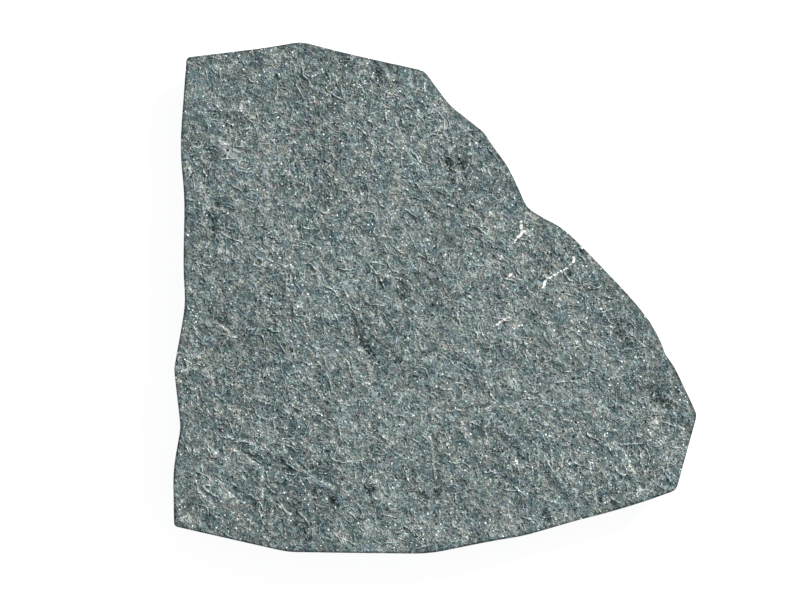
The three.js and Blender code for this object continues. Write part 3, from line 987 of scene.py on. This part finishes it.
hackle_heights[:, :, 0] += hackle_rise
hackle_heights[:, :, 1:] -= HACKLE_ROOT
hackle_shapes = np.concatenate([hackle_spots, hackle_heights[..., None]], axis=3)
ridge_sides = []
for crest_at in range(0, 3 * (HACKLE_STATIONS - 1), 3):
    left_at, right_at = crest_at + 1, crest_at + 2
    for a, b in ((crest_at, left_at), (left_at, right_at), (right_at, crest_at)):
        ridge_sides += [(a, a + 3, b + 3), (a, b + 3, b)]
far_end = 3 * (HACKLE_STATIONS - 1)
ridge_sides += [(0, 1, 2), (far_end, far_end + 2, far_end + 1)]
hackle_mesh = many("hackles", hackle_shapes.reshape(len(hackle_shapes), -1, 3), np.array(ridge_sides))
# Painted light on the hackles: each crest is painted paler as a highlight, and each foot a little paler,
# which lightens the shade beside it.
painted_hackle_light = np.zeros(hackle_heights.shape)
painted_hackle_light[:, :, 0] = 0.8 + 2.4 * hackle_rise
painted_hackle_light[:, :, 1:] = 0.9 * hackle_rise[:, :, None]
take_marks(hackle_mesh, hackle_below, painted_hackle_light.ravel())
keep("hackles", hackle_mesh, schist)

# Grains: blunt quartz crystals that stand out of the face and the flakes and catch the light. Each is a
# closed pyramid with a sunken foot, and its paleness is its own.
GRAIN_COUNT = 7000
GRAIN_INSET = 1.0
GRAIN_CORNERS = 5
GRAIN_REACH = (0.30, 0.62)
GRAIN_RISE = (0.10, 0.34)
GRAIN_ROOT = 0.4
GIRDLE_DEPTH = 0.05
grain_middles, _ = strew(GRAIN_COUNT, GRAIN_INSET)
grain_count = len(grain_middles)
grain_reach = chance.uniform(*GRAIN_REACH, (grain_count, 1))
grain_turn = np.arange(GRAIN_CORNERS) + chance.uniform(-0.3, 0.3, (grain_count, GRAIN_CORNERS))
grain_turn = grain_turn * math.tau / GRAIN_CORNERS + chance.uniform(0, math.tau, (grain_count, 1))
around = (grain_reach * chance.uniform(0.7, 1.0, grain_turn.shape))[:, :, None]
around = grain_middles[:, None] + around * np.stack([np.cos(grain_turn), np.sin(grain_turn)], axis=2)
seats = flake_tops(grain_middles, stone_tops(grain_middles)[0])
peaks = grain_middles + chance.uniform(-0.35, 0.35, (grain_count, 2)) * grain_reach
grain_rise = chance.uniform(*GRAIN_RISE, grain_count)
girdles = np.repeat(seats - GIRDLE_DEPTH, GRAIN_CORNERS).reshape(grain_count, -1, 1)
grain_shapes = np.concatenate([
    np.column_stack([peaks, seats + grain_rise])[:, None],
    np.concatenate([around, girdles], axis=2),
    np.column_stack([grain_middles, seats - GRAIN_ROOT])[:, None]], axis=1)
here, after = round_trip(GRAIN_CORNERS)
crystal = np.concatenate([np.column_stack([0 * here, 1 + here, 1 + after]),
                          np.column_stack([0 * here + GRAIN_CORNERS + 1, 1 + after, 1 + here])])
grain_mesh = many("grains", grain_shapes, crystal)
paleness = grain_mesh.attributes.new("paleness", "FLOAT", "POINT")
paleness.data.foreach_set("value", np.repeat(chance.uniform(0, 1, grain_count), GRAIN_CORNERS + 2))
quartz = bpy.data.materials.new("quartz")
quartz.use_nodes = True
crystals = quartz.node_tree
own_paleness = add(crystals, "ShaderNodeAttribute", {}, attribute_name="paleness").outputs["Fac"]
grain_tone = sums(crystals, "MULTIPLY_ADD", sums(crystals, "POWER", own_paleness, 2.0), 0.40, 0.48)
grain_tint = add(crystals, "ShaderNodeCombineXYZ", {
    "X": total(crystals, grain_tone, -0.02), "Y": total(crystals, grain_tone, 0.008), "Z": grain_tone})
grain_colour = add(crystals, "ShaderNodeGamma", {"Color": grain_tint.outputs[0], "Gamma": 2.2}).outputs[0]
quartz_shader = crystals.nodes["Principled BSDF"]
give(crystals, quartz_shader.inputs["Base Color"], grain_colour)
quartz_shader.inputs["Roughness"].default_value = 0.35
keep("grains", grain_mesh, quartz)
